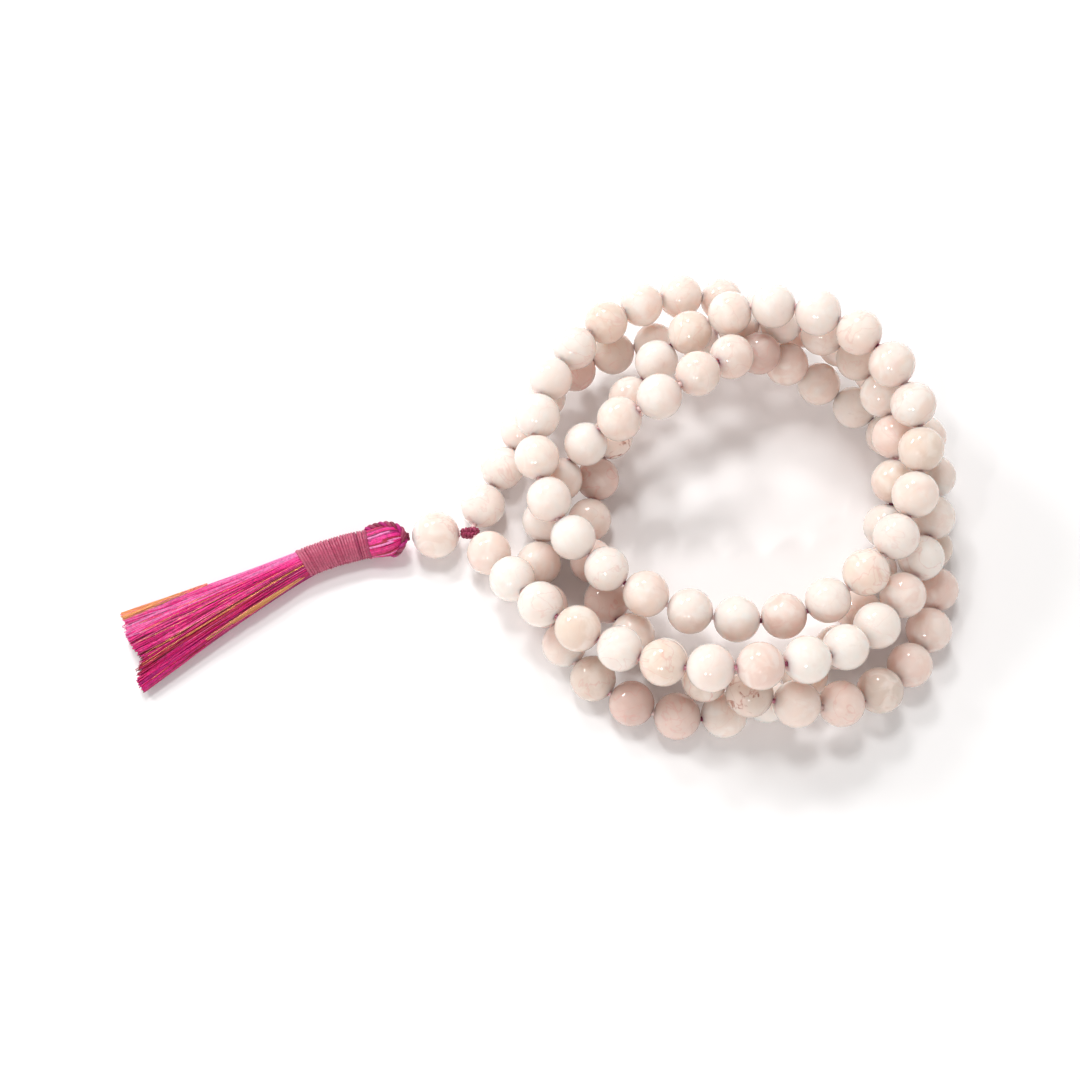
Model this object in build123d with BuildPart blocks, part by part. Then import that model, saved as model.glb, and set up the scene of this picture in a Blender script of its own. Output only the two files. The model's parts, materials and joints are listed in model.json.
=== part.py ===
from build123d import *
import math
import os

import numpy as np

# A string of 108 round rose quartz beads, wound into a loose heap of four turns, with
# a larger guru bead and a silk tassel where the two ends of the string are tied.
# Millimetres, +Z up. The heap and the tassel lie on the plane Z = 0, the tassel
# points to -X, and the origin is the centre of the whole object's footprint.

os.makedirs("parts", exist_ok=True)

# ---- beads and string ----
BEAD_COUNT = 108
BEAD_DIAMETER = 8.0
BEAD_SPREAD = 0.18  # hand-ground stones differ by this much either way
BEAD_BORE = 1.0
BORE_MOUTH = 0.25  # chamfer where the drill has broken out
BEAD_SLACK = 0.18  # free string between neighbouring beads
CORD_DIAMETER = 0.86
SPIN_BEADS = range(28, 55)  # the free top turn, where each bead can be turned by itself
GROUP_SIZE = 9

# ---- the heap ----
COIL_CENTRE = (36.26, -0.63)
STATION_STEP = 30.0
FIRST_STATION = 210.0
# (radius, height) of the string at every 30 degrees round the coil, turn by turn
STATIONS = (
    ((42, 5), (40, 9), (42, 15), (38, 11), (35.5, 10), (37, 11)),
    ((40, 11), (38, 9), (40, 11), (44, 16), (42, 15.5), (37.5, 14.5)),
    ((29.5, 12), (26, 10), (23.5, 11), (28, 12), (30, 15), (31.5, 20)),
    ((33.5, 24), (32, 24), (33, 21.5), (29, 13), (27, 8), (26.5, 4.5)),
    ((30.5, 4), (32, 5), (39.5, 10.5), (40.5, 7), (38.5, 4.5), (32, 4)),
    ((32.5, 5), (30, 10), (28.5, 18.5), (17.5, 18), (20, 15.5), (32.5, 8)),
    ((38, 4), (41, 4), (36.5, 4), (31.5, 4), (27, 5), (30, 12)),
    ((30, 17), (32, 16), (32, 11), (39, 8), (41, 6)),
)
# beads strung by the time the string passes some of the stations: the turns differ in
# size, so they hold different numbers
STRUNG = {1: 4.7, 11: 28.9, 23: 52.1, 27: 61.1, 35: 79, 46: 105}

# ---- knot and guru bead ----
KNOT_CENTRE = (-11.84, -5.33, 4.3)
LEAVES_KNOT = ((1.4, -1.4, 0.0), (4.2, -4.6, 0.3))  # the string's first points
MEETS_KNOT = ((1.8, 5.6, -0.3), (0.6, 1.6, -0.1))  # and its last
KNOT_RADIUS = 1.3
KNOT_LENGTH = 3.6
STRING_END_SPREAD = (0.6, 0.6)  # where the two string ends stop inside the knot
GURU_DIAMETER = 8.6
GURU_BORE = 1.5
GURU_CORD_DIAMETER = 1.36
GURU_GAP = 0.15  # free cord on either side of the guru bead
GURU_HEADING = 184.0  # degrees in plan, from the heap towards the tassel

# ---- tassel ----
TIE_DIAMETER = 1.7  # the knot that stops the guru bead and carries the tassel
TIE_STAND_OFF = 0.95  # from the guru bead's face to the middle of the tie
CUP_DIAMETER = 1.9
HEAD_LENGTH = 7.0
HEAD_OUTLINE = ((0.35, 1.3), (1.0, 2.15), (3.4, 3.0), (6.0, 2.75))  # (from the tie, radius)
HEAD_HEADING = 186.0
BINDING_LENGTH = 12.6
BINDING_DIAMETER = 5.5
BINDING_START_HEADING = 191.0
BINDING_END_HEADING = 206.0
SKIRT_HEADING = 209.5
SKIRT_LENGTH = 33.2
SKIRT_SECTIONS = (  # (share of length, half width, half thickness)
    (0.0, 2.5, 2.5),
    (0.35, 4.0, 2.45),
    (0.7, 5.9, 2.2),
    (1.0, 7.6, 1.9),
)
METALLIC_SECTIONS = ((0.35, 0.35), (0.7, 0.6), (1.0, 0.85))  # (share of length, radius)
METALLIC_GAP = 0.12
TABLE_GAP = 0.03


def bead_diameter(number):
    """Diameter of one bead: a slow, uneven run through the spread of the batch."""
    return BEAD_DIAMETER + BEAD_SPREAD * math.sin(1.9 * number) * math.cos(0.7 * number)


def heading(degrees):
    """Unit vector in the ground plane."""
    return Vector(math.cos(math.radians(degrees)), math.sin(math.radians(degrees)), 0)


# ================= layout of the string =================
diameters = np.array([bead_diameter(number) for number in range(BEAD_COUNT)])
chords = diameters + BEAD_SLACK


def route_points():
    """The string's stations, from one end at the knot to the other."""
    knot_x, knot_y, knot_z = KNOT_CENTRE
    points = [(knot_x + x, knot_y + y, knot_z + z) for x, y, z in LEAVES_KNOT]
    flat = [station for turn in STATIONS for station in turn]
    for count, (radius, height) in enumerate(flat):
        angle = math.radians(FIRST_STATION + STATION_STEP * count)
        x = COIL_CENTRE[0] + radius * math.cos(angle)
        y = COIL_CENTRE[1] + radius * math.sin(angle)
        points.append((x, y, height))
    return points + [(knot_x + x, knot_y + y, knot_z + z) for x, y, z in MEETS_KNOT]


def walk(points, steps):
    """Points one bead apart on a smooth curve through the stations."""
    p = np.array([points[0], *points, points[-1]])
    samples = 20
    t = np.linspace(0, 1, samples, endpoint=False)[:, None]
    spans = [
        0.5 * (2 * b + (c - a) * t + (2 * a - 5 * b + 4 * c - d) * t**2
               + (3 * b - a - 3 * c + d) * t**3)
        for a, b, c, d in zip(p, p[1:], p[2:], p[3:])
    ]
    fine = np.vstack([*spans, p[-1:]])
    along = np.concatenate([[0], np.cumsum(np.linalg.norm(np.diff(fine, axis=0), axis=1))])
    strung = [0, *STRUNG.values(), steps]
    passed = [0, *(along[samples * (station + 2)] for station in STRUNG), along[-1]]
    wanted = np.interp(np.arange(steps + 1), strung, passed)
    return np.column_stack([np.interp(wanted, along, fine[:, k]) for k in range(3)])


def settle(start, rounds=2600, loose=900, hold=0.03, touch=0.06):
    """Let the beads find room: the string keeps its length, and no bead enters another.

    The points are the middles of the gaps between beads, so each bead sits halfway
    between two of them. For the first rounds the string is also held near its route.
    """
    p = start.copy()
    radii = diameters / 2
    first, second = np.triu_indices(BEAD_COUNT, 1)
    apart = radii[first] + radii[second] + touch
    for count in range(rounds):
        if count < loose:
            p += hold * (start - p)
        p[1:-1] += 0.01 * ((p[:-2] + p[2:]) / 2 - p[1:-1])
        for parity in (0, 1):
            a = np.arange(parity, BEAD_COUNT, 2)
            span = p[a + 1] - p[a]
            length = np.linalg.norm(span, axis=1, keepdims=True)
            move = (length - chords[a, None]) / length * 0.5 * span
            p[a] += move
            p[a + 1] -= move
        middle = (p[:-1] + p[1:]) / 2
        between = middle[second] - middle[first]
        distance = np.linalg.norm(between, axis=1)
        close = distance < apart
        push = ((apart - distance) / distance * 0.5)[close, None] * between[close]
        for bead, sign in ((first[close], -1), (second[close], 1)):
            np.add.at(p, bead, sign * push)
            np.add.at(p, bead + 1, sign * push)
        low = np.maximum(radii - (p[:-1, 2] + p[1:, 2]) / 2, 0)
        p[:-1, 2] += low
        p[1:, 2] += low
        p[0], p[-1] = start[0], start[-1]
    return p


gaps = settle(walk(route_points(), BEAD_COUNT))
centres = (gaps[:-1] + gaps[1:]) / 2
axes = (gaps[1:] - gaps[:-1]) / np.linalg.norm(gaps[1:] - gaps[:-1], axis=1, keepdims=True)
# ================= end of layout =================


def drilled_ball(centre, along, radius, bore):
    """Add a drilled ball to the part being built, its bore lying along a direction."""
    across = along.cross(Vector(0, 0.1, 1)).normalized()
    mouth = bore + BORE_MOUTH
    mouth_height = math.sqrt(radius**2 - mouth**2)
    with BuildSketch(Plane(origin=centre, x_dir=across, z_dir=across.cross(along))) as half:
        with BuildLine():
            ThreePointArc((mouth, -mouth_height), (radius, 0), (mouth, mouth_height))
            Polyline(
                (mouth, mouth_height),
                (bore, mouth_height - BORE_MOUTH),
                (bore, BORE_MOUTH - mouth_height),
                (mouth, -mouth_height),
            )
        make_face()
    revolve(half.sketch, axis=Axis(centre, along))


def bead_solid(number):
    """Add one bead of the string, where the layout has put it."""
    centre = Vector(*centres[number])
    along = Vector(*axes[number])
    drilled_ball(centre, along, float(diameters[number]) / 2, BEAD_BORE / 2)


def tube_path(points, reach):
    """Straight runs joined by tangent arcs that start at most `reach` from a corner."""
    corners = [Vector(*point) for point in points]
    radii = []
    for before, corner, after in zip(corners, corners[1:], corners[2:]):
        half_turn = math.radians((corner - before).get_angle(after - corner) / 2)
        radii.append(reach / math.tan(half_turn))
    print("smallest bend radius", round(min(radii), 2), "largest turn", round(
        math.degrees(2 * math.atan(reach / min(radii))), 1))
    return FilletPolyline(*corners, radius=radii)


# ================= string =================
knot_centre = Vector(*KNOT_CENTRE)
end_forward, end_aside = STRING_END_SPREAD
string_ends = [knot_centre + Vector(end_forward, side * end_aside, 0) for side in (-1, 1)]
string_points = [string_ends[0], *(Vector(*gap) for gap in gaps), string_ends[1]]
with BuildPart() as strand_cord:
    with BuildLine() as string_line:
        tube_path(string_points, reach=0.3)
    with BuildSketch(Plane(origin=string_points[0], z_dir=string_points[1] - string_points[0])):
        Circle(CORD_DIAMETER / 2)
    sweep(path=string_line.wires()[0])
strand_cord.part.label = "strand_cord"
string_length = string_line.wires()[0].length
tube_share = strand_cord.part.volume / (math.pi * CORD_DIAMETER**2 / 4 * string_length)
print("string length", round(string_length, 1), "tube volume share", round(tube_share, 4))
export_step(strand_cord.part, "parts/strand_cord.step")

# ================= beads =================
for count, number in enumerate(SPIN_BEADS, start=1):
    with BuildPart() as bead:
        bead_solid(number)
    bead.part.label = f"bead_{count:02d}"
    export_step(bead.part, f"parts/bead_{count:02d}.step")

grouped = [number for number in range(BEAD_COUNT) if number not in SPIN_BEADS]
for count, first in enumerate(range(0, len(grouped), GROUP_SIZE), start=1):
    with BuildPart() as bead_run:
        for number in grouped[first : first + GROUP_SIZE]:
            bead_solid(number)
    bead_run.part.label = f"bead_run_{count}"
    export_step(bead_run.part, f"parts/bead_run_{count}.step")

# ================= knot where the two ends of the string meet =================
outward = heading(GURU_HEADING)
pivot = knot_centre + outward * (KNOT_LENGTH / 2 - KNOT_RADIUS)
knot_start = knot_centre - outward * (KNOT_LENGTH / 2 - KNOT_RADIUS)
with BuildPart() as string_knot:
    with BuildSketch(Plane(origin=knot_centre, x_dir=outward, z_dir=(0, 0, 1))):
        SlotOverall(KNOT_LENGTH, 2 * KNOT_RADIUS)
        split(bisect_by=Plane.XZ, keep=Keep.BOTTOM)
    revolve(axis=Axis(knot_centre, outward))
    add(strand_cord.part, mode=Mode.SUBTRACT)
string_knot.part.label = "string_knot"
export_step(string_knot.part, "parts/string_knot.step")

# ================= guru bead and the cord through it =================
guru_radius = GURU_DIAMETER / 2
guru_centre = pivot + outward * (KNOT_RADIUS + GURU_GAP + guru_radius)
tie = guru_centre + outward * (guru_radius + TIE_STAND_OFF)
with BuildPart() as guru_bead:
    drilled_ball(guru_centre, outward, guru_radius, GURU_BORE / 2)
guru_bead.part.label = "guru_bead"
export_step(guru_bead.part, "parts/guru_bead.step")

cord_start = pivot + outward * (KNOT_RADIUS + GURU_GAP / 3)
with BuildPart() as guru_cord:
    with BuildSketch(Plane(origin=cord_start, z_dir=outward)):
        Circle(GURU_CORD_DIAMETER / 2)
    extrude(amount=(tie - cord_start).length - CUP_DIAMETER / 2)
guru_cord.part.label = "guru_cord"
export_step(guru_cord.part, "parts/guru_cord.step")

# ================= tassel =================
with BuildPart() as tassel_tie:
    with BuildSketch(Plane(origin=tie, x_dir=outward, z_dir=(0, 0, 1))):
        Circle(TIE_DIAMETER / 2)
        split(bisect_by=Plane.XZ, keep=Keep.BOTTOM)
    revolve(axis=Axis(tie, outward))
tassel_tie.part.label = "tassel_tie"
export_step(tassel_tie.part, "parts/tassel_tie.step")

head_along = heading(HEAD_HEADING)
head_reach = tie + head_along * HEAD_LENGTH
head_end = Vector(head_reach.X, head_reach.Y, BINDING_DIAMETER / 2 + TABLE_GAP)
head_axis = (head_end - tie).normalized()
binding_plane = Plane(origin=head_end, z_dir=heading(BINDING_START_HEADING))
with BuildPart() as tassel_head:
    with BuildSketch(Plane(origin=tie, x_dir=head_axis, z_dir=head_axis.cross(Vector(0, 0, 1)))):
        with BuildLine():
            top, *belly, last = HEAD_OUTLINE
            outline = Spline(top, *belly, last, (HEAD_LENGTH + 1.0, last[1] - 0.15))
            Polyline(outline @ 1, (HEAD_LENGTH + 1.0, 0), (top[0], 0), top)
        make_face()
    revolve(axis=Axis(tie, head_axis))
    split(bisect_by=binding_plane, keep=Keep.BOTTOM)
    with Locations(tie):
        Sphere(CUP_DIAMETER / 2, mode=Mode.SUBTRACT)
tassel_head.part.label = "tassel_head"
export_step(tassel_head.part, "parts/tassel_head.step")

with BuildPart() as tassel_binding:
    with BuildLine() as neck_line:
        JernArc(
            start=head_end,
            tangent=heading(BINDING_START_HEADING),
            radius=BINDING_LENGTH / math.radians(BINDING_END_HEADING - BINDING_START_HEADING),
            arc_size=BINDING_END_HEADING - BINDING_START_HEADING,
        )
    with BuildSketch(binding_plane):
        Circle(BINDING_DIAMETER / 2)
    sweep(path=neck_line.wires()[0])
tassel_binding.part.label = "tassel_binding"
export_step(tassel_binding.part, "parts/tassel_binding.step")

skirt_start = neck_line.wires()[0] @ 1
skirt_along = heading(SKIRT_HEADING)
aside = Vector(0, 0, 1).cross(skirt_along)


def skirt_place(share, half_thickness):
    """Middle of the skirt at a share of its length, lying on the table at its tips."""
    place = skirt_start + skirt_along * (SKIRT_LENGTH * share)
    return Vector(place.X, place.Y, half_thickness + TABLE_GAP)


def skirt_plane(share, middle):
    """A plane across the skirt, turned into the binding's end at its start."""
    facing = heading(BINDING_END_HEADING) if share == 0 else skirt_along
    return Plane(origin=middle, x_dir=Vector(0, 0, 1).cross(facing), z_dir=facing)


with BuildPart() as tassel_skirt:
    for share, half_width, half_thickness in SKIRT_SECTIONS:
        middle = skirt_start if share == 0 else skirt_place(share, half_thickness)
        with BuildSketch(skirt_plane(share, middle)):
            Ellipse(half_width, half_thickness)
    loft(ruled=True)
tassel_skirt.part.label = "tassel_skirt"
export_step(tassel_skirt.part, "parts/tassel_skirt.step")

widths = {share: (half_width, thick) for share, half_width, thick in SKIRT_SECTIONS}
for name, side in (("metallic_threads_left", -1), ("metallic_threads_right", 1)):
    with BuildPart() as metallic_threads:
        for share, radius in METALLIC_SECTIONS:
            half_width, half_thickness = widths[share]
            offset_aside = side * (half_width + METALLIC_GAP + radius)
            middle = skirt_place(share, half_thickness) + aside * offset_aside
            with BuildSketch(skirt_plane(share, middle)):
                Circle(radius)
        loft(ruled=True)
    metallic_threads.part.label = name
    export_step(metallic_threads.part, f"parts/{name}.step")
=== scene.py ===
"""Looks of a rose quartz mala: polished beads wound in a loose heap, a guru bead and a silk tassel.

Lengths are in metres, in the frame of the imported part: +Z up, the tassel towards -X.
"""

import json
import logging
import math
from dataclasses import dataclass, field
from enum import Enum
from typing import Callable, Iterable, Sequence

import bmesh
import bpy
import numpy as np
from mathutils import Matrix, Vector

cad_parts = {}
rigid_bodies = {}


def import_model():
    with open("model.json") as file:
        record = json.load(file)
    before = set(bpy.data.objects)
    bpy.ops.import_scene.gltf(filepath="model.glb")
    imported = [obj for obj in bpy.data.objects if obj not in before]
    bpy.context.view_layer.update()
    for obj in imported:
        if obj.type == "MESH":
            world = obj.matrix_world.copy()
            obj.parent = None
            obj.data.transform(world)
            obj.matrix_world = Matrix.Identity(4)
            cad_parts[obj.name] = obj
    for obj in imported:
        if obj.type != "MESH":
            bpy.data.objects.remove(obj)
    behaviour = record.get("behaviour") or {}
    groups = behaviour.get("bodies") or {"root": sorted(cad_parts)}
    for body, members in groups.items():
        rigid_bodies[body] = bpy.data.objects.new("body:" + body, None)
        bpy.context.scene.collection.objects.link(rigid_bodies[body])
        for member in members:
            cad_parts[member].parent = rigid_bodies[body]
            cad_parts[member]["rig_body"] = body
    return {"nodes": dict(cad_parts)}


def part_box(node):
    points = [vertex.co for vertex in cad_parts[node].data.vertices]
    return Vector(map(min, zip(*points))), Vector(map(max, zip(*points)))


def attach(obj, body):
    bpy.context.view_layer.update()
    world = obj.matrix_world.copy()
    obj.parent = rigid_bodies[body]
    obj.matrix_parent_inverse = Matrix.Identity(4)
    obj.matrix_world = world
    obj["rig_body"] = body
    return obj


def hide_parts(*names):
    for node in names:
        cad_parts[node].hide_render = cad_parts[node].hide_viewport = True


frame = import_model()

LOG = logging.getLogger("mala")
MM = 0.001
UP = np.array((0.0, 0.0, 1.0))
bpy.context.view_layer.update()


# ---------------------------------------------------------------- small helpers


def linear(code: str) -> tuple[float, float, float, float]:
    """Turn an sRGB hex colour into the linear one that shaders read.

    Args:
        code: six hex digits, with or without a leading '#'.

    Returns:
        Linear red, green, blue and an alpha of 1.
    """
    digits = code.lstrip("#")
    parts = [int(digits[k : k + 2], 16) / 255 for k in (0, 2, 4)]
    curve = [c / 12.92 if c <= 0.04045 else ((c + 0.055) / 1.055) ** 2.4 for c in parts]
    return (curve[0], curve[1], curve[2], 1.0)


def deselect_all() -> None:
    """Leave edit mode and select nothing, so the next operator acts on its own piece only."""
    if bpy.context.object is not None and bpy.context.object.mode != "OBJECT":
        bpy.ops.object.mode_set(mode="OBJECT")
    bpy.ops.object.select_all(action="DESELECT")


def make_active(obj: bpy.types.Object) -> None:
    """Select one object alone and make it the active one."""
    deselect_all()
    obj.select_set(True)
    bpy.context.view_layer.objects.active = obj


def pick(obj: bpy.types.Object, test: Callable[[Vector], bool], kind: str = "VERT") -> None:
    """Select vertices, edges or faces of the mesh in edit mode by their place.

    Args:
        obj: the mesh object in edit mode.
        test: says for a vertex's place, an edge's middle or a face's middle whether it is wanted.
        kind: VERT, EDGE or FACE.
    """
    bpy.ops.mesh.select_mode(type=kind)
    bpy.ops.mesh.select_all(action="DESELECT")
    form = bmesh.from_edit_mesh(obj.data)
    if kind == "VERT":
        for vertex in form.verts:
            vertex.select = test(vertex.co)
    elif kind == "EDGE":
        for edge in form.edges:
            edge.select = test((edge.verts[0].co + edge.verts[1].co) / 2)
    else:
        for face in form.faces:
            face.select = test(face.calc_center_median())
    form.select_flush_mode()
    bmesh.update_edit_mesh(obj.data)


def add_node(
    tree: bpy.types.NodeTree,
    kind: str,
    settings: dict[str | int, object] | None = None,
    links: dict[str | int, bpy.types.NodeSocket] | None = None,
) -> bpy.types.Node:
    """Add one shader node with its settings and links.

    Args:
        tree: the material's node tree.
        kind: the node's type name.
        settings: values by property name, or by the name or number of an input.
        links: the output that feeds each named or numbered input.

    Returns:
        The new node.
    """
    node = tree.nodes.new(kind)
    for name, value in (settings or {}).items():
        if isinstance(name, str) and hasattr(node, name):
            setattr(node, name, value)
        else:
            node.inputs[name].default_value = value
    for name, source in (links or {}).items():
        tree.links.new(source, node.inputs[name])
    return node


def set_stops(ramp: bpy.types.Node, stops: Sequence[tuple[float, tuple[float, ...]]]) -> None:
    """Give a colour ramp its stops.

    Args:
        ramp: the ColorRamp node.
        stops: place and colour of each stop, in order.
    """
    elements = ramp.color_ramp.elements
    while len(elements) > 1:
        elements.remove(elements[-1])
    elements[0].position, elements[0].color = stops[0]
    for place, colour in stops[1:]:
        elements.new(place).color = colour


def new_finish(
    name: str,
) -> tuple[bpy.types.Material, bpy.types.NodeTree, bpy.types.NodeSocket]:
    """Start a finish.

    Args:
        name: what the real finish is.

    Returns:
        The material, its empty node tree and the place on the piece in metres.
    """
    finish = bpy.data.materials.new(name)
    finish.use_nodes = True
    finish.node_tree.nodes.clear()
    place = add_node(finish.node_tree, "ShaderNodeTexCoord").outputs["Object"]
    return finish, finish.node_tree, place


def put_colour(mesh: bpy.types.Mesh, name: str, values: np.ndarray) -> None:
    """Store a colour for every vertex.

    Args:
        mesh: the mesh.
        name: the attribute's name.
        values: one row of four linear numbers for each vertex, or a single row for all.
    """
    rows = np.broadcast_to(np.asarray(values, np.float32), (len(mesh.vertices), 4))
    layer = mesh.color_attributes.new(name, "FLOAT_COLOR", "POINT")
    layer.data.foreach_set("color", np.ascontiguousarray(rows).ravel())


def finish_piece(
    obj: bpy.types.Object,
    name: str,
    body: str,
    material: bpy.types.Material,
    stands_for: Sequence[str] = (),
) -> bpy.types.Object:
    """Name a finished piece, dress it and hang it on its body.

    Args:
        obj: the piece, with its place in its mesh.
        name: the piece's name.
        body: the CAD body that it moves with.
        material: its finish.
        stands_for: CAD nodes that it replaces.

    Returns:
        The same object.
    """
    obj.name = name
    obj.data.name = name
    obj.data.materials.clear()
    obj.data.materials.append(material)
    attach(obj, body)
    if stands_for:
        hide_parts(*stands_for)
    LOG.info("%s: %d faces on body %s", name, len(obj.data.polygons), body)
    return obj


# ---------------------------------------------------------------- finishes


class Stone(Enum):
    """How one bead of the batch came out of the rock."""

    MILKY = "f3e2da"
    BLUSH = "f0dad0"
    ROSE = "ebd0c6"
    DUSTY = "dac3ba"
    BROWN_ROSE = "d0b7ae"
    SAND = "e4d1c4"
    GREY_SAND = "d8c8bd"
    PEACH = "f0dacd"


@dataclass(frozen=True)
class RoseQuartz:
    """Tumbled and polished rose quartz: cloudy, faintly lit from inside, with healed cracks."""

    cloud_mm: float = 3.4
    zone_mm: float = 7.14
    vein_mm: float = 5.0
    vein_width: float = 0.018
    blotch_mm: float = 2.4
    creep_mm: float = 0.7
    ripple_mm: float = 1.6
    scatter_mm: float = 6.0
    milk: str = "f8ebe4"
    deep: str = "e9c8bf"
    crack: str = "d98f86"
    iron: str = "94492f"
    dye: str = "d07f92"

    def material(self) -> bpy.types.Material:
        """Build the stone.

        Returns:
            A material that reads the attributes stone and marks of the beads.
        """
        finish, tree, place = new_finish("rose_quartz_polished")
        stone = add_node(tree, "ShaderNodeAttribute", {"attribute_name": "stone"})
        marks = add_node(tree, "ShaderNodeAttribute", {"attribute_name": "marks"})
        split = add_node(tree, "ShaderNodeSeparateColor", links={"Color": marks.outputs["Color"]})
        cloudy, veined, iron = (split.outputs[name] for name in ("Red", "Green", "Blue"))

        # size in millimetres, the noise's settings and how its values become an amount
        soft = {"interpolation_type": "SMOOTHSTEP"}
        patterns = {
            # milky clouds a few millimetres wide drift through the stone
            "cloud": (
                self.cloud_mm,
                {"Detail": 3.0, "Roughness": 0.5, "Distortion": 0.9},
                {"From Min": 0.4, "From Max": 0.64, **soft},
            ),
            # the pink gathers in broad soft zones
            "zone": (
                self.zone_mm,
                {"Detail": 1.0, "Distortion": 0.4},
                {"From Min": 0.5, "From Max": 0.8, "To Max": 0.45, **soft},
            ),
            # iron has stained a few beads in blotches
            "blotch": (
                self.blotch_mm,
                {"Detail": 3.0, "Roughness": 0.6, "Distortion": 1.4},
                {"From Min": 0.6, "From Max": 0.7},
            ),
            # the string's dye has crept into the stone round the drilled hole
            "creep": (
                self.creep_mm,
                {"Detail": 2.0},
                {"From Min": 0.3, "From Max": 0.75, "To Min": 0.25, "To Max": 1.0},
            ),
        }
        noise, amount = {}, {}
        for name, (size, grain, reach) in patterns.items():
            settings = {"Scale": 1 / (size * MM), **grain}
            source = add_node(tree, "ShaderNodeTexNoise", settings, {"Vector": place})
            noise[name] = source.outputs["Fac"]
            mapped = add_node(tree, "ShaderNodeMapRange", reach, {"Value": noise[name]})
            amount[name] = mapped.outputs["Result"]

        # healed cracks: thin wandering sheets, where two halves of a noise meet
        sheet = add_node(
            tree,
            "ShaderNodeTexNoise",
            {"Scale": 1 / (self.vein_mm * MM), "Detail": 4.0, "Roughness": 0.45, "Distortion": 0.7},
            {"Vector": place},
        )
        offset = add_node(
            tree, "ShaderNodeMath", {"operation": "SUBTRACT", 1: 0.5}, {0: sheet.outputs["Fac"]}
        )
        distance = add_node(
            tree, "ShaderNodeMath", {"operation": "ABSOLUTE"}, {0: offset.outputs[0]}
        )
        line = add_node(
            tree,
            "ShaderNodeMapRange",
            {"From Min": 0.0, "From Max": self.vein_width, "To Min": 1.0, "To Max": 0.0},
            {"Value": distance.outputs[0]},
        )
        vein_colour = add_node(
            tree,
            "ShaderNodeMix",
            {"data_type": "RGBA", 6: linear(self.crack), 7: linear(self.iron)},
            {0: iron},
        )

        # each layer lies over those before it: its colour, its pattern, the bead's share of it
        layers = (
            (linear(self.milk), amount["cloud"], cloudy),
            (linear(self.deep), amount["zone"], None),
            (vein_colour.outputs[2], line.outputs["Result"], veined),
            (linear(self.iron), amount["blotch"], iron),
            (linear(self.dye), amount["creep"], marks.outputs["Alpha"]),
        )
        body = stone.outputs["Color"]
        for colour, shown, share in layers:
            if share is not None:
                times = {"operation": "MULTIPLY"}
                shown = add_node(tree, "ShaderNodeMath", times, {0: shown, 1: share}).outputs[0]
            settings, links = {"data_type": "RGBA"}, {0: shown, 6: body}
            (settings if isinstance(colour, tuple) else links)[7] = colour
            body = add_node(tree, "ShaderNodeMix", settings, links).outputs[2]

        # tumbling leaves a polish with faint flats and a few duller patches
        ripple = add_node(
            tree,
            "ShaderNodeTexNoise",
            {"Scale": 1 / (self.ripple_mm * MM), "Detail": 1.0},
            {"Vector": place},
        )
        bump = add_node(
            tree,
            "ShaderNodeBump",
            {"Strength": 0.08, "Distance": 0.12 * MM},
            {"Height": ripple.outputs["Fac"]},
        )
        dull = add_node(
            tree,
            "ShaderNodeMapRange",
            {"From Min": 0.35, "From Max": 0.75, "To Min": 0.03, "To Max": 0.09},
            {"Value": noise["cloud"]},
        )
        surface = add_node(
            tree,
            "ShaderNodeBsdfPrincipled",
            {
                "IOR": 1.54,
                "Subsurface Weight": 1.0,
                "Subsurface Radius": (1.0, 0.78, 0.7),
                "Subsurface Scale": self.scatter_mm * MM,
            },
            {
                "Base Color": body,
                "Roughness": dull.outputs["Result"],
                "Normal": bump.outputs["Normal"],
            },
        )
        add_node(tree, "ShaderNodeOutputMaterial", links={"Surface": surface.outputs[0]})
        return finish


@dataclass(frozen=True)
class DyedThread:
    """Dyed viscose silk: smooth fibres with a long soft shine."""

    name: str
    roughness: float = 0.36
    sheen: float = 0.1
    fibre_mm: float = 0.09
    slub: float = 0.35

    def material(self) -> bpy.types.Material:
        """Build the thread's finish.

        Returns:
            A material that reads the attribute tint of the threads.
        """
        finish, tree, place = new_finish(self.name)
        tint = add_node(tree, "ShaderNodeAttribute", {"attribute_name": "tint"})
        # the dye takes a little unevenly from fibre to fibre; fibres are drawn coarser than real
        fibre = add_node(
            tree,
            "ShaderNodeTexNoise",
            {"Scale": 1 / (self.fibre_mm * 6 * MM), "Detail": 3.0, "Roughness": 0.7},
            {"Vector": place},
        )
        share = add_node(
            tree,
            "ShaderNodeMapRange",
            {"From Min": 0.3, "From Max": 0.7, "To Min": 1 - self.slub, "To Max": 1 + self.slub},
            {"Value": fibre.outputs["Fac"]},
        )
        shade = add_node(
            tree,
            "ShaderNodeVectorMath",
            {"operation": "SCALE"},
            {0: tint.outputs["Color"], "Scale": share.outputs["Result"]},
        )
        bump = add_node(
            tree,
            "ShaderNodeBump",
            {"Strength": 0.5, "Distance": 0.05 * MM},
            {"Height": fibre.outputs["Fac"]},
        )
        surface = add_node(
            tree,
            "ShaderNodeBsdfPrincipled",
            {
                "Roughness": self.roughness,
                "IOR": 1.53,
                "Sheen Weight": self.sheen,
                "Sheen Roughness": 0.4,
                "Sheen Tint": linear("f07fb4"),
            },
            {"Base Color": shade.outputs["Vector"], "Normal": bump.outputs["Normal"]},
        )
        add_node(tree, "ShaderNodeOutputMaterial", links={"Surface": surface.outputs[0]})
        return finish


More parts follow.
